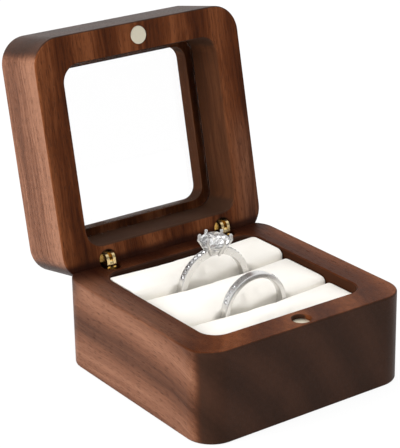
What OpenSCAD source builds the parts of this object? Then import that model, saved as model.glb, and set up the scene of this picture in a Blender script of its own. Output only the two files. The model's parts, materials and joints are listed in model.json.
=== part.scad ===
// Ring display box: a hardwood base and a glazed hardwood lid on two barrel hinges,
// with a padded insert that grips two rings. Millimetres, +Z up.
// The origin is the centre of the underside, the hinges are at the back (+Y),
// and the lid is drawn open, leaning back on its stop.

/* [Box] */
// Width, left to right
box_w = 60; // [54:1:80]
// Depth, front to back
box_d = 60; // [57:1:80]
// Height of the base block
base_h = 23; // [21:0.5:30]
// Height of the lid block
lid_h = 17; // [15.5:0.5:24]
// Radius of the upright corners
corner_r = 7; // [5:0.5:9]
// Rounding of the outer edges
edge_r = 0.5; // [0.2:0.1:1]
// Angle between base and lid when the lid is open
open_angle = 101; // [95:1:108]
// Gap between base and lid when the box is shut
seam_gap = 0.1; // [0.04:0.02:0.3]
// Gap left between the two bevels that stop the open lid
stop_gap = 0.06; // [0.04:0.02:0.2]

/* [Base pocket] */
// Thickness of the base's walls
base_wall = 7.5; // [7.2:0.1:9]
// Thickness of wood under the pocket
base_floor = 4.5; // [3:0.5:6]
// Radius of the corners of both pockets
pocket_r = 4.5; // [3.5:0.5:6]
// Bevel round the mouths of both pockets
mouth_bevel = 0.3; // [0.1:0.1:0.6]

/* [Lid and window] */
// Thickness of the lid's walls
lid_wall = 7.4; // [7.2:0.1:9]
// Depth of the lid's pocket, down to the ledge under the pane
lid_pocket_h = 11.8; // [11.5:0.1:13]
// Width of the ledge that carries the pane
ledge_w = 2.2; // [1.4:0.2:4]
// Radius of the window's corners
window_r = 3.6; // [2:0.2:6]
// Bevel round the outside of the window
window_bevel = 1; // [0.4:0.1:1.6]
// Thickness of the clear pane
pane_t = 1; // [0.8:0.1:1.5]
// Gap between the pane and the lid's walls
pane_gap = 0.2; // [0.1:0.05:0.4]

/* [Hinges] */
// Distance of each hinge from the middle of the box
hinge_x = 17.5; // [10:0.5:18]
// Distance of the hinge axis from the back of the box
pivot_inset = 2.4; // [2.2:0.1:2.6]
// Radius of the barrels
barrel_r = 2.3; // [2.1:0.1:2.4]
// Length of each barrel
barrel_h = 8.5; // [6:0.5:9]
// Distance from the hinge axis forward to the barrels' own axis
barrel_offset = 1.1; // [1:0.05:1.2]
// Depth of the barrels' ends below the wood round them
barrel_sink = 1.2; // [0.6:0.1:1.2]
// Rounding of the barrels' edges
barrel_ease = 0.25; // [0.1:0.05:0.4]
// Gap round a barrel in its hole
barrel_fit = 0.05; // [0.02:0.01:0.1]
// Bevel round the mouths of the hinge holes
hinge_bevel = 0.35; // [0.1:0.05:0.5]
// Radius of the knuckles round the hinge pin
knuckle_r = 1.3; // [1.1:0.05:1.35]
// Distance that the lid barrel's leaves run on from the hinge pin
ear_reach = 1.6; // [1.2:0.1:1.7]
// Thickness of the base barrel's single leaf
tongue_t = 0.9; // [0.7:0.05:0.95]
// Thickness of each of the lid barrel's two leaves
ear_t = 0.75; // [0.5:0.05:0.75]
// Gap between neighbouring leaves
leaf_gap = 0.05; // [0.03:0.01:0.08]
// Radius of the hinge pin
hinge_pin_r = 0.5; // [0.4:0.05:0.6]
// Gap round the hinge pin
pin_fit = 0.03; // [0.02:0.01:0.06]

/* [Magnets] */
// Radius of the magnets
magnet_r = 2.25; // [1.5:0.05:2.4]
// Thickness of the magnets
magnet_t = 2; // [1.5:0.5:3]
// Distance of the magnets' centres from the front of the box
magnet_inset = 3.4; // [3.2:0.1:3.8]
// Depth of the base's magnet below the rim
magnet_sink = 1; // [0.4:0.1:2]
// Gap round a magnet in its hole
magnet_fit = 0.05; // [0.02:0.01:0.1]
// Bevel round the mouth of the base's magnet hole
magnet_bevel = 0.2; // [0.1:0.05:0.4]

/* [Insert] */
// Gap between the insert and the walls of the pocket
insert_gap = 0.3; // [0.2:0.1:0.8]
// Thickness of the card under the pads
card_t = 1.5; // [1:0.25:2]
// Distance between the two ring slots
slot_pitch = 17; // [15:0.5:20]
// Gap on each side of a ring in its slot
slot_play = 0.2; // [0.1:0.05:0.3]
// Depth of the front pad's crown below the rim
front_drop = 1.4; // [0:0.1:2]
// Depth of the middle pad's crown below the rim
middle_drop = 0.2; // [0:0.1:1.5]
// Depth of the rear pad's crown below the rim
rear_drop = 0; // [0:0.1:1.5]
// Radius of the pads' top edges
crown_r = 2.5; // [1.5:0.5:4]
// Radius of the pads' bottom edges
pad_foot_r = 0.8; // [0.4:0.2:1.6]

/* [Solitaire ring] */
// Inner radius
solitaire_r = 8.6; // [8:0.1:8.8]
// Thickness of the shank
shank_t = 1.8; // [1.5:0.1:2.2]
// Width of the shank
shank_w = 2; // [1.8:0.1:2.4]
// Width of the shank where it meets the head
shoulder_w = 1.7; // [1.5:0.1:1.8]
// Rounding of the shank's edges
shank_ease = 0.25; // [0.1:0.05:0.4]
// Height of the shank above the card
solitaire_lift = 2.2; // [1.5:0.1:2.4]
// Sideways place in the slot
solitaire_x = 0.5; // [-3:0.5:3]
// Angle that the ring leans to the right in its slot
solitaire_lean = 3; // [-10:1:10]
// Radius of the centre stone
stone_r = 3.8; // [3.2:0.1:3.9]
// Height of the centre stone's girdle above the shank
girdle_lift = 1.9; // [1.8:0.1:2]
// Number of claws
claw_count = 6; // [4:1:8]
// Radius of the claws
claw_r = 0.38; // [0.34:0.01:0.5]
// Radius of the circle on which the claws' feet stand
claw_foot_r = 1.9; // [1.7:0.1:2.2]
// Depth of the claws' feet below the top of the shank
claw_foot_depth = 1.3; // [0.8:0.1:1.5]
// Radius of the wire of the rail that joins the claws
rail_wire_r = 0.3; // [0.2:0.05:0.35]
// Number of small stones on each shoulder
shoulder_count = 7; // [3:1:8]
// Radius of the small stones
small_stone_r = 0.55; // [0.45:0.05:0.6]
// Distance between neighbouring small stones
small_stone_pitch = 1.35; // [1.3:0.05:1.5]

/* [Wedding band] */
// Inner radius
band_r = 7.7; // [7:0.1:8.4]
// Thickness of the band
band_t = 1.3; // [1.2:0.1:1.8]
// Width of the band
band_w = 2.4; // [2:0.1:3]
// Rounding of the band's edges
band_ease = 0.3; // [0.1:0.05:0.5]
// Height of the band above the card
band_lift = 4.2; // [1.5:0.1:4.6]
// Sideways place in the slot
band_x = 0; // [-3:0.1:3]
// Number of stones on each side of the band
band_stone_count = 4; // [2:1:6]
// Angle from the top of the band to the first of its stones
band_stone_start = 40; // [30:5:50]

/* [Hidden] */
$fn = 48;

// Overlap that makes a cut run clean through a face
cut = 1;
// Rounding of the pane, the magnets and the card
fitting_ease = 0.15;

// Hinge axis: halfway up the seam
pivot_y = box_d / 2 - pivot_inset;
pivot_z = base_h + seam_gap / 2;
bevel_angle = open_angle / 2;
// Barrels, measured from the hinge axis
barrel_top = seam_gap / 2 + barrel_sink;
barrel_end_gap = 0.3;
leaf_root_h = 1;
hinge_hole_h = barrel_top + barrel_h + barrel_end_gap;
ear_x = tongue_t / 2 + leaf_gap + ear_t / 2;
hinge_pin_l = 2 * ear_x + ear_t;
groove_w = 0.4;
groove_h = 0.15;
groove_levels = [0.2, 0.4, 0.6];

// Lid, as it lies when shut
mating_z = base_h + seam_gap;
lid_pocket_w = box_w - 2 * lid_wall;
lid_pocket_d = box_d - 2 * lid_wall;
window_w = lid_pocket_w - 2 * ledge_w;
window_d = lid_pocket_d - 2 * ledge_w;

// Magnets
magnet_y = magnet_inset - box_d / 2;

// Insert
pocket_w = box_w - 2 * base_wall;
pocket_d = box_d - 2 * base_wall;
card_top = base_floor + card_t;
pad_w = pocket_w - 2 * insert_gap;
slot_w = max(shank_w, band_w) + 2 * slot_play;
middle_pad_d = slot_pitch - slot_w;
end_pad_d = (pocket_d - slot_pitch - slot_w) / 2 - insert_gap;
end_pad_y = (slot_pitch + slot_w + end_pad_d) / 2;
end_pad_r = max(crown_r, pocket_r - insert_gap);

// Rings: centres of the two hoops
shank_r = solitaire_r + shank_t;
solitaire_c = [solitaire_x, slot_pitch / 2, card_top + solitaire_lift + shank_r];
hoop_r = band_r + band_t;
band_c = [band_x, -slot_pitch / 2, card_top + band_lift + hoop_r];

// Proportions of a round brilliant, as shares of its radius
crown_share = 0.3;
pavilion_share = 0.86;
table_share = 0.57;
girdle_share = 0.06;

// Head of the solitaire
girdle_z = shank_r + girdle_lift;
claw_h = girdle_lift + claw_foot_depth;
claw_top_r = stone_r + claw_r / 2;
claw_end_r = 1.12 * claw_r;
rail_depth = 0.28 * stone_r;
rail_r = 0.83 * stone_r;
stone_gap = 0.03;
shank_seat_gap = 0.1;
head_seat_gap = 0.02;

// Small stones
small_seat_gap = 0.02;
small_crown_h = 0.22 * small_stone_r;
shoulder_start = asin((stone_r + claw_r) / girdle_z);
shoulder_step = 2 * asin(small_stone_pitch / (2 * shank_r));
band_stone_step = 2 * asin(small_stone_pitch / (2 * hoop_r));

// ---------- shared shapes ----------

// Half profile of an upright corner: a strip from the corner's axis out to r,
// with its bottom and top corners rounded
module rounded_strip(r, h, bottom, top) {
    difference() {
        square([r, h]);
        translate([r - top, h - top]) corner_waste(top);
        translate([r - bottom, bottom]) mirror([0, 1]) corner_waste(bottom);
    }
}

// What rounding a corner by r takes off, the corner pointing to +X and +Y
module corner_waste(r) {
    difference() {
        square(r + cut);
        circle(r);
    }
}

// Half profile of a cutter whose mouth, at the top, flares outwards by c
module flared_strip(r, h, c) {
    polygon([[0, 0], [r, 0], [r, h - c], [r + c, h], [r + c, h + cut], [0, h + cut]]);
}

// A block with upright corners of radius r, whose edge section is the child
module cornered(w, d, r, h) {
    for (x = [-1, 1], y = [-1, 1])
        translate([x * (w / 2 - r), y * (d / 2 - r), 0]) rotate_extrude() children();
    along_x(w - 2 * r) across(d, r, h) children();
    rotate([0, 0, 90]) along_x(d - 2 * r) across(w, r, h) children();
}

// Whole section of a block from the half profile of its edges
module across(span, r, h) {
    for (side = [0, 1])
        mirror([side, 0]) translate([span / 2 - r, 0]) children();
    translate([r - span / 2, 0]) square([span - 2 * r, h]);
}

// Extrudes a section drawn in Y and Z along X
module along_x(length) {
    rotate([90, 0, 90]) linear_extrude(length, center = true) children();
}

// Turns what is drawn shut to the open lid's place
module opened() {
    at_axis() rotate([-open_angle, 0, 0]) translate([0, -pivot_y, -pivot_z]) children();
}

// Places what is drawn round the hinge axis
module at_axis() {
    translate([0, pivot_y, pivot_z]) children();
}

// Bevel along the base's back edge, drawn round the hinge axis: all that lies
// less than gap below the plane where base and lid stop. The lid has its mirror image
module stop_bevel(gap) {
    reach = 3 * pivot_inset;
    rotate([-bevel_angle, 0, 0]) translate([-box_w, -cut, -gap]) cube([2 * box_w, reach + cut, reach]);
}

// ---------- wooden blocks ----------

// Holes for the base's barrels, drawn round the hinge axis
module hinge_holes() {
    r = barrel_r + barrel_fit;
    for (x = [-hinge_x, hinge_x]) translate([x, -barrel_offset, 0]) {
        translate([0, 0, -hinge_hole_h]) cylinder(hinge_hole_h + cut, r = r);
        translate([0, 0, -seam_gap / 2 - hinge_bevel]) cylinder(2 * hinge_bevel, r, r + 2 * hinge_bevel);
    }
}

module base_block() {
    hole_h = magnet_sink + magnet_t;
    hole_r = magnet_r + magnet_fit;
    color("#5d3a25") difference() {
        cornered(box_w, box_d, corner_r, base_h) rounded_strip(corner_r, base_h, edge_r, edge_r);
        translate([0, 0, base_floor]) cornered(pocket_w, pocket_d, pocket_r, base_h - base_floor + cut)
            flared_strip(pocket_r, base_h - base_floor, mouth_bevel);
        at_axis() stop_bevel(stop_gap / 2);
        at_axis() hinge_holes();
        translate([0, magnet_y, base_h - hole_h]) cylinder(hole_h + cut, r = hole_r);
        translate([0, magnet_y, base_h - magnet_bevel])
            cylinder(2 * magnet_bevel, hole_r, hole_r + 2 * magnet_bevel);
    }
}

module lid_block() {
    color("#5d3a25") opened() difference() {
        translate([0, 0, mating_z]) cornered(box_w, box_d, corner_r, lid_h)
            rounded_strip(corner_r, lid_h, edge_r, edge_r);
        // Pocket, cut from the mating face
        translate([0, 0, mating_z + lid_pocket_h]) mirror([0, 0, 1])
            cornered(lid_pocket_w, lid_pocket_d, pocket_r, lid_pocket_h + cut)
                flared_strip(pocket_r, lid_pocket_h, mouth_bevel);
        // Window, cut from the outside
        translate([0, 0, mating_z + lid_pocket_h - cut])
            cornered(window_w, window_d, window_r, lid_h - lid_pocket_h + 2 * cut)
                flared_strip(window_r, lid_h - lid_pocket_h + cut, window_bevel);
        at_axis() mirror([0, 0, 1]) stop_bevel(stop_gap / 2);
        at_axis() mirror([0, 0, 1]) hinge_holes();
        translate([0, magnet_y, mating_z - cut]) cylinder(magnet_t + cut, r = magnet_r + magnet_fit);
    }
}

// ---------- lid fittings ----------

module window_pane() {
    r = pocket_r - pane_gap;
    color("#dfe9ea", 0.3) opened() translate([0, 0, mating_z + lid_pocket_h - pane_t])
        cornered(lid_pocket_w - 2 * pane_gap, lid_pocket_d - 2 * pane_gap, r, pane_t)
            rounded_strip(r, pane_t, fitting_ease, fitting_ease);
}

module magnet_disc() {
    rotate_extrude() rounded_strip(magnet_r, magnet_t, fitting_ease, fitting_ease);
}

module base_magnet() {
    color("#c9c6bd") translate([0, magnet_y, base_h - magnet_sink - magnet_t]) magnet_disc();
}

module lid_magnet() {
    color("#d8cfba") opened() translate([0, magnet_y, mating_z]) magnet_disc();
}

// ---------- hinges ----------

// Barrel standing below the hinge axis, drawn round that axis. Its end is cut by the
// same two planes as the wood, so it clears the other barrel at every angle
module barrel_body() {
    difference() {
        translate([0, -barrel_offset, -barrel_top - barrel_h]) {
            rotate_extrude() difference() {
                rounded_strip(barrel_r, barrel_h, barrel_ease, barrel_ease);
                for (level = groove_levels)
                    translate([barrel_r - groove_h, level * barrel_h]) square([groove_h + cut, groove_w]);
            }
        }
        stop_bevel(stop_gap / 2 + barrel_sink);
    }
}

// Leaf that stands on a barrel's end, round the hinge pin and reach further forward
module leaf(t, reach) {
    w = reach + knuckle_r;
    h = barrel_top + leaf_root_h;
    along_x(t) {
        circle(knuckle_r);
        translate([-w, -h]) square([w, h]);
        if (reach > 0) translate([-reach, 0]) {
            circle(knuckle_r);
            square([reach, knuckle_r]);
        }
    }
}

// Room for a leaf of the other barrel: round the pin, and forward as a slot
module leaf_slot(t) {
    room = knuckle_r + leaf_gap;
    along_x(t + 2 * leaf_gap) {
        circle(room);
        translate([-barrel_offset - barrel_r - cut, -room]) square([barrel_offset + barrel_r + cut, room]);
    }
}

module pin_hole() {
    along_x(hinge_pin_l + 2 * cut) circle(hinge_pin_r + pin_fit);
}

// One leaf, in the middle
module base_barrel(x) {
    color("#c9a24f") translate([x, 0, 0]) at_axis() difference() {
        union() {
            difference() {
                barrel_body();
                for (side = [-1, 1]) translate([side * ear_x, 0, 0]) leaf_slot(ear_t);
            }
            leaf(tongue_t, 0);
        }
        pin_hole();
    }
}

// Two leaves, one on each side of the base barrel's leaf
module lid_barrel(x) {
    color("#c9a24f") opened() translate([x, 0, 0]) at_axis() mirror([0, 0, 1]) difference() {
        union() {
            difference() {
                barrel_body();
                leaf_slot(tongue_t);
            }
            for (side = [-1, 1]) translate([side * ear_x, 0, 0]) leaf(ear_t, ear_reach);
        }
        pin_hole();
    }
}

module hinge_pin(x) {
    color("#b08d45") translate([x, 0, 0]) at_axis() along_x(hinge_pin_l) circle(hinge_pin_r);
}

module left_base_barrel() { base_barrel(-hinge_x); }
module right_base_barrel() { base_barrel(hinge_x); }
module left_lid_barrel() { lid_barrel(-hinge_x); }
module right_lid_barrel() { lid_barrel(hinge_x); }
module left_hinge_pin() { hinge_pin(-hinge_x); }
module right_hinge_pin() { hinge_pin(hinge_x); }

// ---------- insert ----------

module insert_card() {
    r = pocket_r - insert_gap;
    color("#e9e2d2") translate([0, 0, base_floor])
        cornered(pad_w, pocket_d - 2 * insert_gap, r, card_t)
            rounded_strip(r, card_t, fitting_ease, fitting_ease);
}

module pad(y, d, r, drop) {
    h = base_h - drop - card_top;
    color("#f3eee2") translate([0, y, card_top])
        cornered(pad_w, d, r, h) rounded_strip(r, h, pad_foot_r, crown_r);
}

module front_pad() { pad(-end_pad_y, end_pad_d, end_pad_r, front_drop); }
module middle_pad() { pad(0, middle_pad_d, crown_r, middle_drop); }
module rear_pad() { pad(end_pad_y, end_pad_d, end_pad_r, rear_drop); }

// ---------- rings ----------

// Hoop whose finger hole runs front to back, drawn about its own centre
module hoop(r, t, w, ease) {
    rotate([90, 0, 0]) rotate_extrude() translate([r, -w / 2]) {
        translate([0, ease]) square([t, w - 2 * ease]);
        translate([ease, 0]) square([t - 2 * ease, w]);
        for (x = [ease, t - ease], y = [ease, w - ease]) translate([x, y]) circle(ease);
    }
}

// Solid of revolution that holds a round stone, girdle at z = 0
module stone_envelope(r, gap) {
    girdle_h = girdle_share * r;
    translate([0, 0, -pavilion_share * r - gap]) cylinder(pavilion_share * r, 0, r + gap);
    translate([0, 0, -gap]) cylinder(girdle_h + 2 * gap, r = r + gap);
    translate([0, 0, girdle_h + gap]) cylinder(crown_share * r, r + gap, table_share * r + gap);
}

// Places its child on a hoop, deg from the top, its z axis outwards
module on_hoop(c, r, deg) {
    translate(c) rotate([0, deg, 0]) translate([0, 0, r]) children();
}

// Places its child at the middle of the centre stone's girdle
module at_girdle() {
    on_hoop(solitaire_c, girdle_z, solitaire_lean) children();
}

// Places its children at every shoulder stone of the solitaire
module at_shoulders() {
    for (side = [-1, 1], i = [0 : shoulder_count - 1])
        on_hoop(solitaire_c, shank_r, solitaire_lean + side * (shoulder_start + i * shoulder_step)) children();
}

// Places its children at every stone of the wedding band
module at_band_stones() {
    for (side = [-1, 1], i = [0 : band_stone_count - 1])
        on_hoop(band_c, hoop_r, side * (band_stone_start + i * band_stone_step)) children();
}

module small_stone(gap) {
    r = small_stone_r;
    translate([0, 0, -pavilion_share * r - gap]) cylinder(pavilion_share * r, 0, r + gap);
    translate([0, 0, -gap]) cylinder(small_crown_h + gap, r + gap, table_share * r + gap);
}

// Tapers the upper half of the shank towards the head
module shoulder_taper() {
    neck = shoulder_w / 2;
    full = shank_w / 2;
    linear_extrude(shank_r + cut) polygon([
        [-shank_r - cut, -full], [0, -neck], [shank_r + cut, -full],
        [shank_r + cut, full], [0, neck], [-shank_r - cut, full]
    ]);
}

module solitaire_shank() {
    color("#d5d7da") difference() {
        translate(solitaire_c) intersection() {
            hoop(solitaire_r, shank_t, shank_w, shank_ease);
            rotate([0, solitaire_lean, 0]) {
                shoulder_taper();
                translate([-box_w, -shank_w, -box_w]) cube([2 * box_w, 2 * shank_w, box_w]);
            }
        }
        at_girdle() stone_envelope(stone_r, shank_seat_gap);
        at_shoulders() small_stone(small_seat_gap);
    }
}

// Claws that stand astride the shank and lean out to the girdle, held by a gallery rail
module solitaire_head() {
    splay = atan((claw_top_r - claw_foot_r) / claw_h);
    crown_h = crown_share * stone_r;
    color("#e2e4e6") difference() {
        at_girdle() {
            translate([0, 0, -rail_depth]) rotate_extrude() translate([rail_r, 0]) circle(rail_wire_r);
            for (i = [0 : claw_count - 1]) rotate([0, 0, 30 + i * 360 / claw_count]) {
                translate([claw_foot_r, 0, -claw_h]) rotate([0, splay, 0])
                    cylinder(claw_h / cos(splay), r = claw_r);
                translate([claw_top_r, 0, 0]) cylinder(crown_h, r = claw_r);
                for (end = [[claw_foot_r, 0, -claw_h], [claw_top_r, 0, 0], [stone_r, 0, crown_h]])
                    translate(end) sphere(claw_end_r);
            }
        }
        at_girdle() stone_envelope(stone_r, stone_gap);
        translate(solitaire_c) rotate([90, 0, 0])
            cylinder(shank_w + 2 * head_seat_gap, r = shank_r + head_seat_gap, center = true);
    }
}

// Round brilliant: eight-sided table, sixteen-sided girdle, pointed pavilion
module solitaire_stone() {
    girdle_h = girdle_share * stone_r;
    culet = 0.01;
    color("#eef4f8", 0.6) at_girdle() hull() {
        translate([0, 0, girdle_h]) linear_extrude(crown_share * stone_r)
            circle(table_share * stone_r, $fn = 8);
        rotate([0, 0, 360 / 32]) linear_extrude(girdle_h) circle(stone_r, $fn = 16);
        translate([0, 0, -pavilion_share * stone_r]) linear_extrude(culet) circle(2 * culet, $fn = 8);
    }
}

module shoulder_stones() {
    color("#eef4f8") at_shoulders() small_stone(0);
}

module wedding_band() {
    color("#d5d7da") difference() {
        translate(band_c) hoop(band_r, band_t, band_w, band_ease);
        at_band_stones() small_stone(small_seat_gap);
    }
}

module band_stones() {
    color("#eef4f8") at_band_stones() small_stone(0);
}

base_block();
insert_card();
front_pad();
middle_pad();
rear_pad();
base_magnet();
left_base_barrel();
right_base_barrel();
left_hinge_pin();
right_hinge_pin();
solitaire_shank();
solitaire_head();
solitaire_stone();
shoulder_stones();
wedding_band();
band_stones();
lid_block();
window_pane();
lid_magnet();
left_lid_barrel();
right_lid_barrel();
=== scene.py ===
"""Looks of the ring display box: walnut, brass, velvet, glass, magnets and two rings."""

import json
import math

import bpy
import numpy as np
from mathutils import Matrix, Vector


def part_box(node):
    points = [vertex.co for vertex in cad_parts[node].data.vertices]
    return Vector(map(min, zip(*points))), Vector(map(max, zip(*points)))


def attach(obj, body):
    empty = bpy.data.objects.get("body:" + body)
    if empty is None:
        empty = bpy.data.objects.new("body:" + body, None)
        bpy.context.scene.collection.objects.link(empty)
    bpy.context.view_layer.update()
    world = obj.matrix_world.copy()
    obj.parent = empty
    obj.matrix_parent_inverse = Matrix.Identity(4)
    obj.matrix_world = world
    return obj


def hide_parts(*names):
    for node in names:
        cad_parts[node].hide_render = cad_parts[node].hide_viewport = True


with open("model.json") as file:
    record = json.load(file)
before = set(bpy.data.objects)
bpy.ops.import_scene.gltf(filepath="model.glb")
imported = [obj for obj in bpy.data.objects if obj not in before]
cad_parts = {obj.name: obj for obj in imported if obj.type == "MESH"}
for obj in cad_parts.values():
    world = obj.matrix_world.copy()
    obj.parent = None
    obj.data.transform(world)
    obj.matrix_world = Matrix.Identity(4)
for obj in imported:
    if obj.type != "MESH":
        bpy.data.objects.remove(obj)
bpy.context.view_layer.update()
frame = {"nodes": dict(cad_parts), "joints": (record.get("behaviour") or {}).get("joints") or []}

MM = 0.001
scene = bpy.context.scene
nodes = frame["nodes"]

# The one hinge of the box. The lid is stored open, so shut is the far end of its range
lid_joint = frame["joints"][0]
pivot = Vector(lid_joint["pos_m"])
open_angle = math.radians(lid_joint["range_deg"][1])
shut_turn = Matrix.Rotation(open_angle, 3, "X")
shut_shift = pivot - shut_turn @ pivot

base_low, base_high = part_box("base_block")
rim_z = base_high.z

# Half the width of what fills each block's pocket
pad_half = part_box("middle_pad")[1].x
pane_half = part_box("window_pane")[1].x


# ---------- camera ----------

CAMERA_AZIMUTH = math.radians(-35.067)
CAMERA_ELEVATION = math.radians(21.577)
CAMERA_ROLL = math.radians(-1.059)
CAMERA_DISTANCE = 401.803 * MM
CAMERA_TARGET = Vector((-9.206, 0, 40.207)) * MM
CAMERA_LENS = 137.77
CAMERA_SENSOR = 36  # along the longer side of the frame, in millimetres as the lens is


def make_camera():
    """A camera in front of the box, to its left and a little above it."""
    data = bpy.data.cameras.new("camera")
    data.lens = CAMERA_LENS
    data.sensor_width = CAMERA_SENSOR
    data.clip_start = 10 * MM
    camera = bpy.data.objects.new("camera", data)
    scene.collection.objects.link(camera)
    level = math.cos(CAMERA_ELEVATION)
    back = Vector(
        (
            math.sin(CAMERA_AZIMUTH) * level,
            -math.cos(CAMERA_AZIMUTH) * level,
            math.sin(CAMERA_ELEVATION),
        )
    )
    right = Vector((0, 0, 1)).cross(back).normalized()
    up = back.cross(right)
    turned_right = right * math.cos(CAMERA_ROLL) + up * math.sin(CAMERA_ROLL)
    turned_up = back.cross(turned_right)
    axes = Matrix((turned_right, turned_up, back)).transposed()
    place = CAMERA_TARGET + back * CAMERA_DISTANCE
    camera.matrix_world = Matrix.LocRotScale(place, axes.to_quaternion(), None)
    scene.camera = camera


make_camera()


# ---------- node trees ----------

VECTOR = "NodeSocketVector"
COLOUR = "NodeSocketColor"
FLOAT = "NodeSocketFloat"
SIDEWAYS = (1.0, 0.0, 0.0)
LENGTHWAYS = (0.0, 1.0, 0.0)
UPWARDS = (0.0, 0.0, 1.0)
MILLIMETRES = (1 / MM, 1 / MM, 1 / MM)


def add(tree, kind, inputs=None, **settings):
    """Adds a node. inputs gives each socket, by name or number, a value or another node's output."""
    made = tree.nodes.new(kind)
    for key, value in settings.items():
        setattr(made, key, value)
    for key, value in (inputs or {}).items():
        if isinstance(value, bpy.types.NodeSocket):
            tree.links.new(value, made.inputs[key])
        else:
            made.inputs[key].default_value = value
    return made


def sums(tree, operation, *values):
    """Adds a Math node and returns its result."""
    return add(tree, "ShaderNodeMath", dict(enumerate(values)), operation=operation).outputs[0]


def vectors(tree, operation, *values):
    """Adds a Vector Math node and returns its vector."""
    return add(tree, "ShaderNodeVectorMath", dict(enumerate(values)), operation=operation).outputs[0]


def measured(tree, operation, *values):
    """Adds a Vector Math node and returns its number."""
    made = add(tree, "ShaderNodeVectorMath", dict(enumerate(values)), operation=operation)
    return made.outputs["Value"]


def scaled(tree, vector, scale):
    """The vector, multiplied by one number."""
    return add(tree, "ShaderNodeVectorMath", {0: vector, "Scale": scale}, operation="SCALE").outputs[0]


def moved(tree, vector, turn, shift):
    """The vector, turned about X and then shifted."""
    inputs = {"Vector": vector, "Rotation": (turn, 0, 0), "Location": shift}
    return add(tree, "ShaderNodeMapping", inputs).outputs[0]


def noise(tree, vector, detail=2.0, roughness=0.5):
    """The outputs of a noise texture."""
    inputs = {"Vector": vector, "Scale": 1.0, "Detail": detail, "Roughness": roughness}
    return add(tree, "ShaderNodeTexNoise", inputs).outputs


def ramp(tree, value, stops):
    """A colour ramp; stops are (place, colour) pairs."""
    made = add(tree, "ShaderNodeValToRGB", {0: value})
    elements = made.color_ramp.elements
    while len(elements) < len(stops):
        elements.new(1.0)
    for element, (place, colour) in zip(elements, stops):
        element.position = place
        element.color = (*colour, 1)
    return made.outputs["Color"]


def stepped(tree, value, low, high, to_low=0.0, to_high=1.0):
    """Maps a value smoothly from one range to another."""
    inputs = {"Value": value, "From Min": low, "From Max": high, "To Min": to_low, "To Max": to_high}
    made = add(tree, "ShaderNodeMapRange", inputs, interpolation_type="SMOOTHSTEP")
    return made.outputs["Result"]


def mixed(tree, share, a, b):
    """Mixes two colours."""
    return add(tree, "ShaderNodeMix", {0: share, 6: a, 7: b}, data_type="RGBA").outputs[2]


def facing_share(tree, normal, axis):
    """How squarely a surface faces along an axis, either way."""
    return sums(tree, "ABSOLUTE", measured(tree, "DOT_PRODUCT", normal, axis))


def new_group(name, inputs, outputs):
    """A node group with named sockets; returns it with the sockets of its two ends."""
    group = bpy.data.node_groups.new(name, "ShaderNodeTree")
    for names, side in ((inputs, "INPUT"), (outputs, "OUTPUT")):
        for socket, kind in names.items():
            group.interface.new_socket(socket, in_out=side, socket_type=kind)
    return group, group.nodes.new("NodeGroupInput").outputs, group.nodes.new("NodeGroupOutput").inputs


# Walnut's figure, with the grain along Y: lengths are in millimetres
FRONT = 30.0  # from the middle of the box to its front
BEND_LENGTH = 7.0
PITH = (60.0, 0.0, 25.0)  # from the pith to the middle of the box's foot
BAND_SPACING = 12.0
BAND_START = 54.1
RING_SPACING = 1.9

# The same figure's noises: turns per millimetre across the grain, along it and across it
WAVE_GRAIN = (0.05, 0.022, 0.05)
BROAD_GRAIN = (0.13, 0.018, 0.13)
STREAK_GRAIN = (0.95, 0.022, 0.95)
FIBRE_GRAIN = (4.5, 0.11, 4.5)
PORE_GRAIN = (5.5, 0.42, 5.5)

# How much each part of the figure moves the tone of the wood
BAND_WEIGHT = 0.22
RING_WEIGHT = 0.03
BROAD_WEIGHT = 0.45
FIBRE_WEIGHT = 0.35

PORE_NOISE = (0.58, 0.68)  # where a pore begins, and where it is full
PORE_SHARE = 0.45
END_GRAIN_FACING = (0.28, 0.62)  # how squarely it faces along the grain, from none of it to all
END_GRAIN_SHARE = 0.94
POLISH = 0.32
FIBRE_ROUGHNESS = 0.14
PORE_ROUGHNESS = 0.2
FIBRE_HEIGHT = 0.25  # beside a pore's depth of 1

HEARTWOOD = (
    (0.10, (0.038, 0.0088, 0.0022)),
    (0.50, (0.092, 0.0240, 0.0064)),
    (0.90, (0.180, 0.0560, 0.0190)),
)
# Paler wood; on the outer side faces it also stands in for painted light on them
PALE_WOOD_AND_SIDE_LIGHT = (
    (0.10, (0.060, 0.0225, 0.0115)),
    (0.50, (0.145, 0.0580, 0.0310)),
    (0.90, (0.262, 0.1200, 0.0700)),
)
OILED_END_GRAIN = ((0.10, (0.0280, 0.0130, 0.0076)), (0.90, (0.0450, 0.0205, 0.0126)))
PORE_COLOUR = (0.022, 0.008, 0.0035, 1)


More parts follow.
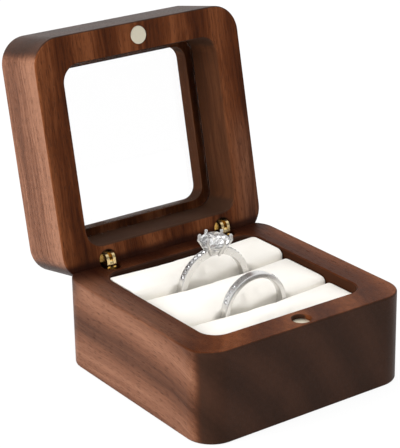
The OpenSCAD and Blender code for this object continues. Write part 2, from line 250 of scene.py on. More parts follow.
def make_walnut_group():
    """Walnut with its grain along Y: growth rings, streaks and pores. Where Flank is set, paler wood is
    mixed in;
    on the outer sides it stands partly for painted light. The end grain is dark with oil. Near the front
    the rings turn up by Bend millimetres."""
    group, given, out = new_group(
        "walnut_figure",
        {
            "Vector": VECTOR,
            "Normal": VECTOR,
            "Flank": FLOAT,
            "Paleness": FLOAT,
            "Bend": FLOAT,
            "Waves": FLOAT,
            "Streaks": FLOAT,
            "Tone": FLOAT,
            "Contrast": FLOAT,
        },
        {"Color": COLOUR, "Roughness": FLOAT, "Height": FLOAT},
    )
    straight = vectors(group, "MULTIPLY", given["Vector"], MILLIMETRES)
    x, y, z = add(group, "ShaderNodeSeparateXYZ", {0: straight}).outputs
    from_front = sums(group, "DIVIDE", sums(group, "ADD", y, FRONT), -BEND_LENGTH)
    rise = sums(group, "MULTIPLY", sums(group, "EXPONENT", from_front), given["Bend"])
    bent_z = sums(group, "ADD", z, rise)
    place = add(group, "ShaderNodeCombineXYZ", {0: x, 1: y, 2: bent_z}).outputs[0]

    # Slow waves push the rings to and fro along the grain
    waves = noise(group, vectors(group, "MULTIPLY", place, WAVE_GRAIN))["Color"]
    push = scaled(group, vectors(group, "SUBTRACT", waves, (0.5, 0.5, 0.5)), given["Waves"])
    waved = vectors(group, "ADD", place, push)

    # Growth rings round a pith below and beside the block: broad bands, with fine rings in them
    from_pith = vectors(group, "MULTIPLY", vectors(group, "ADD", waved, PITH), (1.0, 0.0, 1.0))
    radius = measured(group, "LENGTH", from_pith)
    band_radius = sums(group, "SUBTRACT", radius, BAND_START)
    bands = sums(group, "COSINE", sums(group, "MULTIPLY", band_radius, math.tau / BAND_SPACING))
    rings = sums(group, "SINE", sums(group, "MULTIPLY", radius, math.tau / RING_SPACING))

    broad = noise(group, vectors(group, "MULTIPLY", waved, BROAD_GRAIN))["Fac"]
    streak_place = vectors(group, "MULTIPLY", waved, STREAK_GRAIN)
    streak = noise(group, streak_place, detail=3.0, roughness=0.6)["Fac"]
    fibre = noise(group, vectors(group, "MULTIPLY", place, FIBRE_GRAIN))["Fac"]

    tone = sums(group, "MULTIPLY", bands, BAND_WEIGHT)
    tone = sums(group, "ADD", tone, sums(group, "MULTIPLY", rings, RING_WEIGHT))
    for part, weight in ((broad, BROAD_WEIGHT), (streak, given["Streaks"]), (fibre, FIBRE_WEIGHT)):
        centred = sums(group, "SUBTRACT", part, 0.5)
        tone = sums(group, "ADD", tone, sums(group, "MULTIPLY", centred, weight))
    tone = sums(group, "MULTIPLY", tone, given["Contrast"])
    tone = sums(group, "ADD", tone, given["Tone"])
    heart = ramp(group, tone, HEARTWOOD)
    pale = ramp(group, sums(group, "ADD", tone, given["Paleness"]), PALE_WOOD_AND_SIDE_LIGHT)
    wood = mixed(group, given["Flank"], heart, pale)

    # Pores: short dark dashes along the grain, dots across it
    pore_noise = noise(group, vectors(group, "MULTIPLY", place, PORE_GRAIN), detail=1.0)["Fac"]
    pores = stepped(group, pore_noise, *PORE_NOISE)
    wood = mixed(group, sums(group, "MULTIPLY", pores, PORE_SHARE), wood, PORE_COLOUR)

    # End grain drinks the oil and turns dark
    oiled = ramp(group, tone, OILED_END_GRAIN)
    facing = facing_share(group, given["Normal"], LENGTHWAYS)
    end_grain = stepped(group, facing, *END_GRAIN_FACING)
    wood = mixed(group, sums(group, "MULTIPLY", end_grain, END_GRAIN_SHARE), wood, oiled)
    group.links.new(wood, out["Color"])

    # The fibres and the pores break up the polish
    rough = sums(group, "ADD", POLISH, sums(group, "MULTIPLY", fibre, FIBRE_ROUGHNESS))
    rough = sums(group, "ADD", rough, sums(group, "MULTIPLY", pores, PORE_ROUGHNESS))
    group.links.new(rough, out["Roughness"])
    height = sums(group, "SUBTRACT", sums(group, "MULTIPLY", fibre, FIBRE_HEIGHT), pores)
    group.links.new(height, out["Height"])
    return group


def make_speckle_group():
    """Fine mottling at a given grain size: a value about zero, and the mottling as a height."""
    group, given, out = new_group(
        "speckle", {"Vector": VECTOR, "Grain": FLOAT, "Amount": FLOAT}, {"Value": FLOAT, "Height": FLOAT}
    )
    place = scaled(group, given["Vector"], sums(group, "DIVIDE", 1 / MM, given["Grain"]))
    mottle = noise(group, place, detail=3.0, roughness=0.6)["Fac"]
    centred = sums(group, "SUBTRACT", mottle, 0.5)
    group.links.new(sums(group, "MULTIPLY", centred, given["Amount"]), out["Value"])
    group.links.new(mottle, out["Height"])
    return group


walnut_group = make_walnut_group()
speckle_group = make_speckle_group()


# ---------- materials ----------

# Where the wood changes from one look to another. A pair gives where that begins and where it ends
OUTER_FACE = (base_high.x - 3 * MM, base_high.x - 0.5 * MM)
SIDE_FACING = (0.80, 0.99)
RIM_EDGE = (base_high.x - 9 * MM, base_high.x - 2 * MM)
RIM_FADE = 14 * MM
WALL_FACING = (0.9, 0.5)
RAW_EDGE = (0.60 * MM, 0.35 * MM)  # beyond what fills the pocket
RAW_ROUGHNESS = 0.8
# Painted shade along the hinge line, where the lid shades the joint and the base's rear rim
HINGE_SHADE_CORE = 0.8 * MM  # from the hinge line
HINGE_SHADE_SHARE = 0.88
# Past this reach from the hinge line the brass is rougher and darkened with painted shade
BRASS_SHADE_REACH = (2.4 * MM, 3.4 * MM)  # from the hinge line: bright, then dull

# Colour of the painted shade along the hinge line
HINGE_SHADE_COLOUR = (0.018, 0.0045, 0.0025, 1)
# Painted shade for the walls of the base's deep pocket
BASE_POCKET_SHADE = (0.030, 0.012, 0.006, 1)
RAW_LID_COLOUR = (0.078, 0.036, 0.019, 1)
DEEP_VELVET = (0.87, 0.83, 0.76, 1)
PALE_VELVET = (0.93, 0.90, 0.845, 1)
VELVET_SHEEN = (1.0, 0.985, 0.95, 1)
DEEP_BOARD = (0.70, 0.66, 0.57, 1)
PALE_BOARD = (0.82, 0.79, 0.71, 1)
BRIGHT_BRASS = (0.90, 0.70, 0.36, 1)
# Colour of the painted shade on the brass sunk in its hole
SHADED_BRASS = (0.10, 0.048, 0.018, 1)
NICKEL = (0.95, 0.88, 0.70, 1)
WHITE_GOLD = (0.76, 0.75, 0.735, 1)
SMALL_STONE_COLOUR = (0.86, 0.86, 0.87, 1)
WHITE = (1.0, 1.0, 1.0, 1)
STONE_REFRACTION = 2.42
PANE_REFRACTION = 1.46


def new_material(name):
    """A node material; returns it with its tree, its Principled shader and its coordinates."""
    made = bpy.data.materials.new(name)
    made.use_nodes = True
    tree = made.node_tree
    shader = tree.nodes["Principled BSDF"]
    return made, tree, shader, tree.nodes.new("ShaderNodeTexCoord").outputs


def set_inputs(shader, **values):
    """Sets a shader's sockets; an underscore in a name stands for a space."""
    for name, value in values.items():
        shader.inputs[name.replace("_", " ")].default_value = value


def add_bump(tree, shader, height, depth, strength=1.0):
    """Lets a height raise and sink the surface by up to depth, in its shading alone."""
    bump = add(tree, "ShaderNodeBump", {"Height": height, "Strength": strength, "Distance": depth})
    tree.links.new(bump.outputs["Normal"], shader.inputs["Normal"])


def speckle(tree, vector, grain, amount):
    """Places the speckle group; grain is in millimetres."""
    inputs = {"Vector": vector, "Grain": grain, "Amount": amount}
    return add(tree, "ShaderNodeGroup", inputs, node_tree=speckle_group).outputs


def from_hinge_line(tree, place):
    """Distance of a place in the shut box from the line through both hinge pins."""
    offset = vectors(tree, "SUBTRACT", place, pivot)
    return measured(tree, "LENGTH", vectors(tree, "MULTIPLY", offset, (0.0, 1.0, 1.0)))


def make_walnut(name, turn, shift, log_turn, log_place, paler_rim, hinge_shade_reach, sanded, **figure):
    """Walnut for one block. turn is an angle about X and shift a step in metres that bring the
    block to where it is in the shut box; log_turn and log_place then do the same for the log
    that it is cut from, with the grain along Y. paler_rim gives the side (-1 left, 1 right) on which
    the rim is also made paler, the Y where that begins, and its share there. hinge_shade_reach is how
    far from the hinge line painted shade darkens the wood. sanded gives half the width of what
    fills the block's pocket, and the colour mixed onto the walls round it with its share: raw wood
    in the lid, painted shade in the base."""
    made, tree, shader, coordinates = new_material(name)
    shut = moved(tree, coordinates["Object"], turn, shift)
    log = moved(tree, shut, log_turn, log_place)
    normal = {"Vector": coordinates["Normal"], "Rotation": (turn, 0, 0)}
    facing = add(tree, "ShaderNodeMapping", normal, vector_type="NORMAL").outputs[0]

    # The outer side faces are made paler: partly paler wood, partly painted light on the sides. A part of
    # the rim is made paler too
    across, along, _ = add(tree, "ShaderNodeSeparateXYZ", {0: shut}).outputs
    aside = sums(tree, "ABSOLUTE", across)
    outer = stepped(tree, aside, *OUTER_FACE)
    facing_side = stepped(tree, facing_share(tree, coordinates["Normal"], SIDEWAYS), *SIDE_FACING)
    side, start, share = paler_rim
    to_side = sums(tree, "MULTIPLY", across, side)
    beside = stepped(tree, to_side, *RIM_EDGE)
    behind = stepped(tree, along, start, start + RIM_FADE, 0.0, share)
    rim = sums(tree, "MULTIPLY", beside, behind)
    flank = sums(tree, "MAXIMUM", sums(tree, "MULTIPLY", outer, facing_side), rim)

    grown = {"Vector": log, "Normal": facing, "Flank": flank, **figure}
    wood = add(tree, "ShaderNodeGroup", grown, node_tree=walnut_group).outputs

    # Painted shade along the hinge line: the joint, and on the base also the rear rim and the back of the
    # pocket under the lid
    hinge_shaded = stepped(tree, from_hinge_line(tree, shut), hinge_shade_reach, HINGE_SHADE_CORE, 0.0, HINGE_SHADE_SHARE)
    colour = mixed(tree, hinge_shaded, wood["Color"], HINGE_SHADE_COLOUR)

    # The walls of the pocket and the window are sanded but not polished, so they are rougher. Their colour
    # is mixed towards raw wood in the lid, and towards painted shade in the base's deep pocket
    half_width, wall_colour, wall_share = sanded
    inwards = sums(tree, "MAXIMUM", aside, sums(tree, "ABSOLUTE", along))
    wall_mask = stepped(tree, inwards, *(half_width + edge for edge in RAW_EDGE))
    upright = stepped(tree, facing_share(tree, facing, UPWARDS), *WALL_FACING)
    wall_mask = sums(tree, "MULTIPLY", wall_mask, upright)
    colour = mixed(tree, sums(tree, "MULTIPLY", wall_mask, wall_share), colour, wall_colour)
    tree.links.new(colour, shader.inputs["Base Color"])
    raw_roughness = sums(tree, "MULTIPLY", wall_mask, RAW_ROUGHNESS)
    roughness = sums(tree, "MAXIMUM", wood["Roughness"], raw_roughness)
    tree.links.new(roughness, shader.inputs["Roughness"])
    set_inputs(shader, Specular_IOR_Level=0.06)
    add_bump(tree, shader, wood["Height"], depth=0.03 * MM)
    return made


def make_velvet():
    """Cream velvet: a soft nap with brushed patches, and a pale sheen."""
    made, tree, shader, coordinates = new_material("cream_velvet")
    nap = speckle(tree, coordinates["Object"], grain=0.22, amount=0.5)
    brushed = speckle(tree, coordinates["Object"], grain=5.0, amount=0.9)
    share = sums(tree, "ADD", 0.5, sums(tree, "ADD", nap["Value"], brushed["Value"]))
    tree.links.new(mixed(tree, share, DEEP_VELVET, PALE_VELVET), shader.inputs["Base Color"])
    set_inputs(shader, Roughness=0.92, Specular_IOR_Level=0.2)
    set_inputs(shader, Sheen_Weight=0.35, Sheen_Roughness=0.45, Sheen_Tint=VELVET_SHEEN)
    add_bump(tree, shader, nap["Height"], depth=0.12 * MM, strength=0.7)
    return made


def make_board():
    """The plain board under the pads."""
    made, tree, shader, coordinates = new_material("insert_board")
    fibres = speckle(tree, coordinates["Object"], grain=0.6, amount=0.6)
    share = sums(tree, "ADD", 0.5, fibres["Value"])
    tree.links.new(mixed(tree, share, DEEP_BOARD, PALE_BOARD), shader.inputs["Base Color"])
    set_inputs(shader, Roughness=0.9)
    add_bump(tree, shader, fibres["Height"], depth=0.05 * MM)
    return made


def make_metal(name, colour, roughness, spread, grain, depth):
    """Metal with fine wear in its polish. spread is how far the roughness varies, grain the size
    of the wear in millimetres, and depth how deep it goes."""
    made, tree, shader, coordinates = new_material(name)
    wear = speckle(tree, coordinates["Object"], grain, spread)
    tree.links.new(sums(tree, "ADD", roughness, wear["Value"]), shader.inputs["Roughness"])
    set_inputs(shader, Base_Color=colour, Metallic=1.0)
    add_bump(tree, shader, wear["Height"], depth)
    return made


def make_hinge_brass(name, turn, shift):
    """Brass that is polished round the hinge pin. Where the barrel is sunk in its hole it is rougher,
    and its colour is darkened with painted shade. turn and shift are as for walnut."""
    made, tree, shader, coordinates = new_material(name)
    shut = moved(tree, coordinates["Object"], turn, shift)
    sunk = stepped(tree, from_hinge_line(tree, shut), *BRASS_SHADE_REACH)
    tree.links.new(mixed(tree, sunk, BRIGHT_BRASS, SHADED_BRASS), shader.inputs["Base Color"])
    wear = speckle(tree, coordinates["Object"], grain=0.5, amount=0.12)
    roughness = sums(tree, "ADD", sums(tree, "MULTIPLY", sunk, 0.3), 0.20)
    tree.links.new(sums(tree, "ADD", roughness, wear["Value"]), shader.inputs["Roughness"])
    set_inputs(shader, Metallic=1.0)
    add_bump(tree, shader, wear["Height"], depth=0.01 * MM)
    return made


def make_clear(name, colour, refraction, haze_grain, glow=0.0):
    """Clear glass or stone. glow stands for the sparkle that a lamp draws from a cut stone."""
    made, tree, shader, coordinates = new_material(name)
    haze = speckle(tree, coordinates["Object"], haze_grain, amount=0.02)
    tree.links.new(sums(tree, "ADD", 0.01, haze["Value"]), shader.inputs["Roughness"])
    set_inputs(shader, Base_Color=colour, IOR=refraction, Transmission_Weight=1.0)
    set_inputs(shader, Emission_Color=colour, Emission_Strength=glow)
    return made


def let_lamps_through(glass):
    """Lets the lamps light what lies behind a pane."""
    tree = glass.node_tree
    shader = tree.nodes["Principled BSDF"].outputs[0]
    clear = add(tree, "ShaderNodeBsdfTransparent", {"Color": WHITE}).outputs[0]
    lamp_ray = tree.nodes.new("ShaderNodeLightPath").outputs["Is Shadow Ray"]
    surface = add(tree, "ShaderNodeMixShader", {0: lamp_ray, 1: shader, 2: clear}).outputs[0]
    tree.links.new(surface, tree.nodes["Material Output"].inputs["Surface"])


base_walnut = make_walnut(
    "base_walnut",
    turn=0,
    shift=(0, 0, 0),
    log_turn=0,
    log_place=(0, 0, 0),
    paler_rim=(-1, base_low.y + 4 * MM, 1.0),
    # painted shade over the base's rear rim and the back of its pocket, under the lid
    hinge_shade_reach=9.0 * MM,
    # painted shade on the walls of the base's pocket
    sanded=(pad_half, BASE_POCKET_SHADE, 0.7),
    Paleness=-0.04,
    Bend=7.0,
    Waves=3.0,
    Streaks=0.5,
    Tone=0.50,
    Contrast=1.05,
)
lid_walnut = make_walnut(
    "lid_walnut",
    turn=open_angle,
    shift=shut_shift,
    log_turn=math.radians(3),
    log_place=(0.09, 0.03, 0.02),
    paler_rim=(1, -6 * MM, 0.45),
    # painted shade along the lid's side of the joint
    hinge_shade_reach=2.6 * MM,
    sanded=(pane_half, RAW_LID_COLOUR, 0.5),
    Paleness=0.20,
    Bend=0.0,
    Waves=7.0,
    Streaks=1.0,
    Tone=0.53,
    Contrast=1.1,
)
velvet = make_velvet()
board = make_board()
base_brass = make_hinge_brass("base_hinge_brass", 0, (0, 0, 0))
lid_brass = make_hinge_brass("lid_hinge_brass", open_angle, shut_shift)
nickel = make_metal("plated_magnet", NICKEL, roughness=0.45, spread=0.15, grain=0.4, depth=0.01 * MM)
white_gold = make_metal("white_gold", WHITE_GOLD, roughness=0.28, spread=0.05, grain=0.8, depth=0.002 * MM)
diamond = make_clear("cut_stone", WHITE, STONE_REFRACTION, haze_grain=2.0, glow=0.045)
small_diamond = make_clear("small_cut_stone", SMALL_STONE_COLOUR, STONE_REFRACTION, haze_grain=2.0)
pane_glass = make_clear("clear_pane", WHITE, PANE_REFRACTION, haze_grain=20.0)
let_lamps_through(pane_glass)

FINISHES = {
    "base_block": base_walnut,
    "lid_block": lid_walnut,
    "insert_card": board,
    "front_pad": velvet,
    "middle_pad": velvet,
    "rear_pad": velvet,
    "base_magnet": nickel,
    "lid_magnet": nickel,
    "left_base_barrel": base_brass,
    "right_base_barrel": base_brass,
    "left_lid_barrel": lid_brass,
    "right_lid_barrel": lid_brass,
    "left_hinge_pin": base_brass,
    "right_hinge_pin": base_brass,
    "solitaire_shank": white_gold,
    "solitaire_head": white_gold,
    "wedding_band": white_gold,
    "solitaire_stone": diamond,
    "shoulder_stones": small_diamond,
    "band_stones": small_diamond,
    "window_pane": pane_glass,
}
for node_name, finish in FINISHES.items():
    for material_slot in nodes[node_name].material_slots:
        material_slot.material = finish


# ---------- modelling helpers ----------


def deselect():
    bpy.ops.object.select_all(action="DESELECT")


def edit_all():
    bpy.ops.object.mode_set(mode="EDIT")
    bpy.ops.mesh.select_all(action="SELECT")


def leave_edit():
    bpy.ops.object.mode_set(mode="OBJECT")


def finish_piece(piece, name, material):
    """Names a modelled piece, gives it its material and lets it ride on the base."""
    piece.name = name
    piece.data.name = name
    piece.data.materials.clear()
    piece.data.materials.append(material)
    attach(piece, "base")


def apply_modifier(piece, kind, **settings):
    """Adds a modifier to the active piece and applies it."""
    made = piece.modifiers.new(kind.lower(), kind)
    for key, value in settings.items():
        setattr(made, key, value)
    bpy.ops.object.modifier_apply(modifier=made.name)


class Hoop:
    """Where a ring stands: its centre, outer radius and half width."""

    def __init__(self, node):
        low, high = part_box(node)
        self.radius = (high.x - low.x) / 2
        self.centre = Vector(((low.x + high.x) / 2, (low.y + high.y) / 2, low.z + self.radius))
        self.half_width = (high.y - low.y) / 2


solitaire = Hoop("solitaire_shank")
band = Hoop("wedding_band")


# ---------- velvet pads ----------

SIM_SCALE = 10  # cloth behaves better on a pad as large as a bolster
PAD_SHRINK = 0.5 * MM
PAD_EDGE = 1.6 * MM
PAD_VOXEL = 0.55 * MM
FOOT_HEIGHT = 1 * MM
PAD_PRESSURE = 1.2
PAD_STIFFNESS = 5.0
CLOTH_QUALITY = 6
CLOTH_STEPS = 20
SLOT_TOUCH = 0.05 * MM
RING_CLEARANCE = 0.07 * MM
DENT_REACH = 3.6 * MM
SOFTNESS = 0.5 * MM
END_SWELL = 2.4 * MM
SIDE_SWELL = 1.4 * MM


def start_pad(size):
    """A block with rounded edges, standing on z = 0, at the simulation's scale."""
    deselect()
    bpy.ops.mesh.primitive_cube_add(size=1, location=(0, 0, size.z / 2), scale=size)
    pad = bpy.context.object
    bpy.ops.object.transform_apply(location=True, rotation=True, scale=True)
    edit_all()
    bpy.ops.mesh.bevel(offset=PAD_EDGE * SIM_SCALE, segments=4, affect="EDGES")
    leave_edit()
    return pad


def inflate(pad):
    """Fills a pad as cloth under pressure, held along its foot."""
    apply_modifier(pad, "REMESH", mode="VOXEL", voxel_size=PAD_VOXEL * SIM_SCALE)
    foot = pad.vertex_groups.new(name="foot")
    low_points = [v.index for v in pad.data.vertices if v.co.z < FOOT_HEIGHT * SIM_SCALE]
    foot.add(low_points, 1.0, "REPLACE")
    cloth = pad.modifiers.new("cloth", "CLOTH")
    cloth.settings.use_pressure = True
    cloth.settings.uniform_pressure_force = PAD_PRESSURE
    cloth.settings.effector_weights.gravity = 0
    cloth.settings.vertex_group_mass = "foot"
    cloth.settings.shrink_min = 0.0
    cloth.settings.bending_stiffness = PAD_STIFFNESS
    cloth.settings.quality = CLOTH_QUALITY
    cloth.collision_settings.use_collision = False
    for step in range(1, CLOTH_STEPS + 1):
        scene.frame_set(step)
    bpy.ops.object.modifier_apply(modifier="cloth")
    scene.frame_set(1)


def soft_min(value, limit, softness):
    """The smaller of two arrays, with the corner between them rounded."""
    share = np.clip(0.5 + 0.5 * (limit - value) / softness, 0, 1)
    return limit + (value - limit) * share - softness * share * (1 - share)


def pressed(value, low, high):
    """Values held between two limits, with soft corners."""
    return -soft_min(-soft_min(value, high, SOFTNESS), -low, SOFTNESS)


def slot_gap(x, z, hoop):
    """Gap that a ring keeps open in its slot, from the slot's middle."""
    beyond = np.hypot(x - hoop.centre.x, z - hoop.centre.z) - hoop.radius
    fade = np.clip(beyond / DENT_REACH, 0, 1)
    open_gap = hoop.half_width + RING_CLEARANCE
    return SLOT_TOUCH + (open_gap - SLOT_TOUCH) * (1 - fade * fade * (3 - 2 * fade))


def make_pad(name, node, front_hoop, back_hoop, top_z):
    """A velvet pad in the place of its node. A hoop stands for a slot on that side, None for a wall."""
    low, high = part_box(node)
    front = low.y if front_hoop is None else front_hoop.centre.y
    back = high.y if back_hoop is None else back_hoop.centre.y
    shrink = Vector((PAD_SHRINK, PAD_SHRINK, PAD_SHRINK / 2)) * 2
    size = (Vector((high.x - low.x, back - front, top_z - low.z)) - shrink) * SIM_SCALE
    pad = start_pad(size)
    inflate(pad)

    # Fitted to its place: the sides swell past their walls and slots, and are pressed flat there
    points = np.empty(len(pad.data.vertices) * 3)
    pad.data.vertices.foreach_get("co", points)
    points = points.reshape(-1, 3)
    target_low = np.array((low.x - END_SWELL, front - SIDE_SWELL, low.z))
    target_high = np.array((high.x + END_SWELL, back + SIDE_SWELL, top_z))
    share = (points - points.min(0)) / (points.max(0) - points.min(0))
    x, y, z = (target_low + share * (target_high - target_low)).T
    x = pressed(x, low.x, high.x)
    back_limit = high.y if back_hoop is None else back - slot_gap(x, z, back_hoop)
    front_limit = low.y if front_hoop is None else front + slot_gap(x, z, front_hoop)
    y = pressed(y, front_limit, back_limit)
    points = np.stack((x, y, z), axis=1)
    pad.data.vertices.foreach_set("co", points.ravel())
    pad.data.update()

    apply_modifier(pad, "SUBSURF", levels=1, render_levels=1)
    bpy.ops.object.shade_smooth()
    finish_piece(pad, name, velvet)
    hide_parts(node)


make_pad("front_velvet_pad", "front_pad", None, band, top_z=rim_z - 1.2 * MM)
make_pad("middle_velvet_pad", "middle_pad", band, solitaire, top_z=rim_z - 0.2 * MM)
make_pad("rear_velvet_pad", "rear_pad", solitaire, None, top_z=rim_z + 1.2 * MM)


# ---------- cut stones ----------

# A round brilliant; lengths are shares of its radius
CROWN_ANGLE = math.radians(34.5)
STAR_ANGLE = math.radians(22)
UPPER_HALF_ANGLE = math.radians(40)
PAVILION_ANGLE = math.radians(40.75)
LOWER_HALF_ANGLE = math.radians(42.2)
CROWN_HEIGHT = 0.30
TABLE_APOTHEM = 0.53
GIRDLE_HEIGHT = 0.06
CULET_DEPTH = 0.86
FULL_CUT = 8  # main facets; a stone with fewer has no other facets but its table
SMALL_CUT = 6

SMALL_STONE_RADIUS = 0.55 * MM
BEAD_RADIUS = 0.17 * MM
BEAD_ASIDE = 0.55 * MM


def cut_plane(distance, height, turn, slope, downwards=False):
    """Grinds one facet. Its plane passes through the point at that distance and height, in the
    direction of turn, and leans by slope from level."""
    around = Vector((math.cos(turn), math.sin(turn), 0))
    upright = Vector((0, 0, -1 if downwards else 1))
    bpy.ops.mesh.select_all(action="SELECT")
    bpy.ops.mesh.bisect(
        plane_co=around * distance + Vector((0, 0, height)),
        plane_no=around * math.sin(slope) + upright * math.cos(slope),
        use_fill=True,
        clear_outer=True,
    )


def cut_brilliant(facets):
    """A round brilliant of radius 1 with its girdle at z = 0. facets is the number of main facets."""
    deselect()
    bpy.ops.mesh.primitive_cylinder_add(vertices=8 * facets, radius=1, depth=2)
    stone = bpy.context.object
    edit_all()
    step = math.tau / facets
    for number in range(facets):
        turn = number * step
        cut_plane(1, GIRDLE_HEIGHT, turn, CROWN_ANGLE)
        cut_plane(1, 0, turn, PAVILION_ANGLE, downwards=True)
        if facets < FULL_CUT:
            continue
        for side in (-1, 1):
            cut_plane(1, GIRDLE_HEIGHT, turn + side * step / 4, UPPER_HALF_ANGLE)
            cut_plane(1, 0, turn + side * step / 4, LOWER_HALF_ANGLE, downwards=True)
        cut_plane(TABLE_APOTHEM, GIRDLE_HEIGHT + CROWN_HEIGHT, turn + step / 2, STAR_ANGLE)
    cut_plane(0, GIRDLE_HEIGHT + CROWN_HEIGHT, 0, 0)
    bpy.ops.mesh.select_all(action="SELECT")
    bpy.ops.mesh.remove_doubles(threshold=0.002)
    bpy.ops.mesh.dissolve_limited(angle_limit=math.radians(0.5))
    bpy.ops.mesh.normals_make_consistent(inside=False)
    leave_edit()
    return stone


def place_mesh(piece, origin, outwards, radius):
    """Moves a mesh modelled at the origin, Z up, to its place in the frame."""
    turn = Vector(outwards).to_track_quat("Z", "Y")
    size = Vector((radius, radius, radius))
    piece.data.transform(Matrix.LocRotScale(origin, turn, size))
    piece.data.update()


def make_centre_stone():
    """The round centre stone, on the axis from the hoop's centre through its node."""
    corners = {tuple(round(c, 7) for c in v.co) for v in nodes["solitaire_stone"].data.vertices}
    corners = [Vector(corner) - solitaire.centre for corner in corners]
    axis = sum(corners, Vector()).normalized()
    heights = [corner.dot(axis) for corner in corners]
    radius = (max(heights) - min(heights)) / (CULET_DEPTH + GIRDLE_HEIGHT + CROWN_HEIGHT)
    stone = cut_brilliant(FULL_CUT)
    place_mesh(stone, solitaire.centre + axis * (min(heights) + CULET_DEPTH * radius), axis, radius)
    finish_piece(stone, "centre_stone_cut", diamond)
    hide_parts("solitaire_stone")


def stone_angles(node, hoop):
    """Angle from the top of the hoop to each loose stone of a node."""
    deselect()
    copy = nodes[node].copy()
    copy.data = copy.data.copy()
    scene.collection.objects.link(copy)
    copy.select_set(True)
    bpy.context.view_layer.objects.active = copy
    edit_all()
    bpy.ops.mesh.remove_doubles(threshold=1e-6)
    leave_edit()
    bpy.ops.mesh.separate(type="LOOSE")
    angles = []
    for part in list(bpy.context.selected_objects):
        middle = sum((v.co for v in part.data.vertices), Vector()) / len(part.data.vertices)
        angles.append(math.atan2(middle.x - hoop.centre.x, middle.z - hoop.centre.z))
        bpy.data.objects.remove(part)
    return sorted(angles)


def on_hoop(hoop, angle, aside=0.0):
    """A point on the outside of a hoop, and the direction straight out of it."""
    outwards = Vector((math.sin(angle), 0, math.cos(angle)))
    return hoop.centre + outwards * hoop.radius + Vector((0, aside, 0)), outwards


def join_copies(model, places, radius):
    """Copies a model to each place, joins the copies and removes the model."""
    copies = []
    for origin, outwards in places:
        copy = bpy.data.objects.new(model.name, model.data.copy())
        scene.collection.objects.link(copy)
        place_mesh(copy, origin, outwards, radius)
        copies.append(copy)
    bpy.data.objects.remove(model)
    deselect()
    for copy in copies:
        copy.select_set(True)
    bpy.context.view_layer.objects.active = copies[0]
    bpy.ops.object.join()
    return bpy.context.object


def make_small_stones(name, node, hoop, angles):
    """One small stone at each angle round a hoop, in the place of a node's plain ones."""
    model = cut_brilliant(SMALL_CUT)
    stones = join_copies(model, [on_hoop(hoop, angle) for angle in angles], SMALL_STONE_RADIUS)
    finish_piece(stones, name, small_diamond)
    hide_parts(node)


def make_beads(name, hoop, angles):
    """Grains of metal raised between neighbouring stones."""
    deselect()
    bpy.ops.mesh.primitive_ico_sphere_add(subdivisions=2, radius=1)
    model = bpy.context.object
    bpy.ops.object.shade_smooth()
    places = []
    for side in (-1, 1):
        row = sorted(a for a in angles if a * side > 0)
        step = (row[-1] - row[0]) / (len(row) - 1)
        for number in range(len(row) + 1):
            for edge in (-1, 1):
                places.append(on_hoop(hoop, row[0] + (number - 0.5) * step, edge * BEAD_ASIDE))
    beads = join_copies(model, places, BEAD_RADIUS)
    finish_piece(beads, name, white_gold)


make_centre_stone()
shoulder_angles = stone_angles("shoulder_stones", solitaire)
band_angles = stone_angles("band_stones", band)
make_small_stones("shoulder_stones_cut", "shoulder_stones", solitaire, shoulder_angles)
make_small_stones("band_stones_cut", "band_stones", band, band_angles)
make_beads("shoulder_beads", solitaire, shoulder_angles)


# ---------- studio ----------

FLOOR_RADIUS = 4
FLOOR_DROP = 0.05 * MM
FLOOR_COLOUR = (0.80, 0.80, 0.80, 1)
FAINT_COLOUR = (0.12, 0.12, 0.12, 1)  # what the floor shows of lamps and shadows
FLOOR_GLOW = 0.90
ROOM_LIGHT = 0.87  # how brightly the room lights the box
DARK_SHARE = 0.7  # how much darker the room is in front of the box, where it is mirrored


def seen_rays(tree):
    """1 on rays that show the room: straight, through glass or in a polished surface. Returned
    with the polished ones alone."""
    paths = tree.nodes.new("ShaderNodeLightPath").outputs
    seen = sums(tree, "MAXIMUM", paths["Is Camera Ray"], paths["Is Transmission Ray"])
    return sums(tree, "MAXIMUM", seen, paths["Is Glossy Ray"]), paths["Is Glossy Ray"]


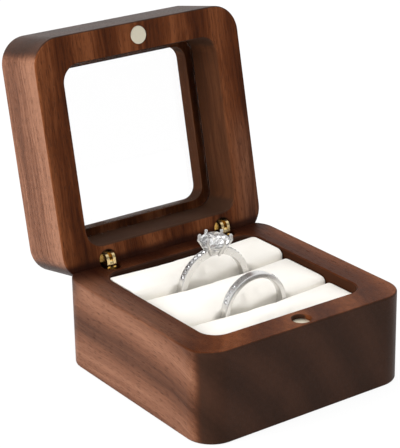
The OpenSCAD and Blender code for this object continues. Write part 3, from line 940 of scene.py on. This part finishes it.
def make_floor():
    """A wide floor that is pale for what it lights and nearly white where it is seen."""
    deselect()
    below = (0, 0, -FLOOR_DROP)
    bpy.ops.mesh.primitive_circle_add(vertices=64, radius=FLOOR_RADIUS, fill_type="NGON", location=below)
    floor = bpy.context.object
    floor.name = "floor"
    made = bpy.data.materials.new("studio_floor")
    made.use_nodes = True
    tree = made.node_tree
    tree.nodes.clear()
    seen, _ = seen_rays(tree)
    plain = add(tree, "ShaderNodeBsdfDiffuse", {"Color": FLOOR_COLOUR}).outputs[0]
    faint = add(tree, "ShaderNodeBsdfDiffuse", {"Color": FAINT_COLOUR}).outputs[0]
    glow = add(tree, "ShaderNodeEmission", {"Color": WHITE, "Strength": FLOOR_GLOW}).outputs[0]
    white = add(tree, "ShaderNodeAddShader", {0: faint, 1: glow}).outputs[0]
    surface = add(tree, "ShaderNodeMixShader", {0: seen, 1: plain, 2: white}).outputs[0]
    add(tree, "ShaderNodeOutputMaterial", {"Surface": surface})
    floor.data.materials.append(made)


def make_world():
    """White all round where it is seen, and dimmer for what it lights. What is polished mirrors a
    darker half of the room, in front of the box."""
    world = bpy.data.worlds.new("studio")
    scene.world = world
    world.use_nodes = True
    tree = world.node_tree
    tree.nodes.clear()
    seen, mirrored = seen_rays(tree)
    direction = tree.nodes.new("ShaderNodeTexCoord").outputs["Generated"]
    _, along, _ = add(tree, "ShaderNodeSeparateXYZ", {0: direction}).outputs
    forwards = stepped(tree, along, -0.25, -0.75, 0.0, DARK_SHARE)
    strength = sums(tree, "SUBTRACT", 1.0, sums(tree, "MULTIPLY", forwards, mirrored))
    dim = add(tree, "ShaderNodeBackground", {"Color": WHITE, "Strength": ROOM_LIGHT}).outputs[0]
    white = add(tree, "ShaderNodeBackground", {"Color": WHITE, "Strength": strength}).outputs[0]
    surface = add(tree, "ShaderNodeMixShader", {0: seen, 1: dim, 2: white}).outputs[0]
    add(tree, "ShaderNodeOutputWorld", {"Surface": surface})


def make_softbox(name, place, size, power):
    """A square soft light that faces the box. It isn't seen itself, straight or in polish."""
    data = bpy.data.lights.new(name, "AREA")
    data.size = size
    data.energy = power
    lamp = bpy.data.objects.new(name, data)
    scene.collection.objects.link(lamp)
    aim = Vector(place) - Vector((0, 0, rim_z))
    lamp.matrix_world = Matrix.LocRotScale(Vector(place), aim.to_track_quat("Z", "Y"), None)
    lamp.visible_camera = False
    lamp.visible_glossy = False


make_floor()
make_world()
make_softbox("key_left", (-0.66, 0.08, 0.26), size=0.36, power=4.2)
make_softbox("top", (0.0, 0.05, 0.75), size=0.50, power=1.3)
scene.view_settings.view_transform = "Standard"
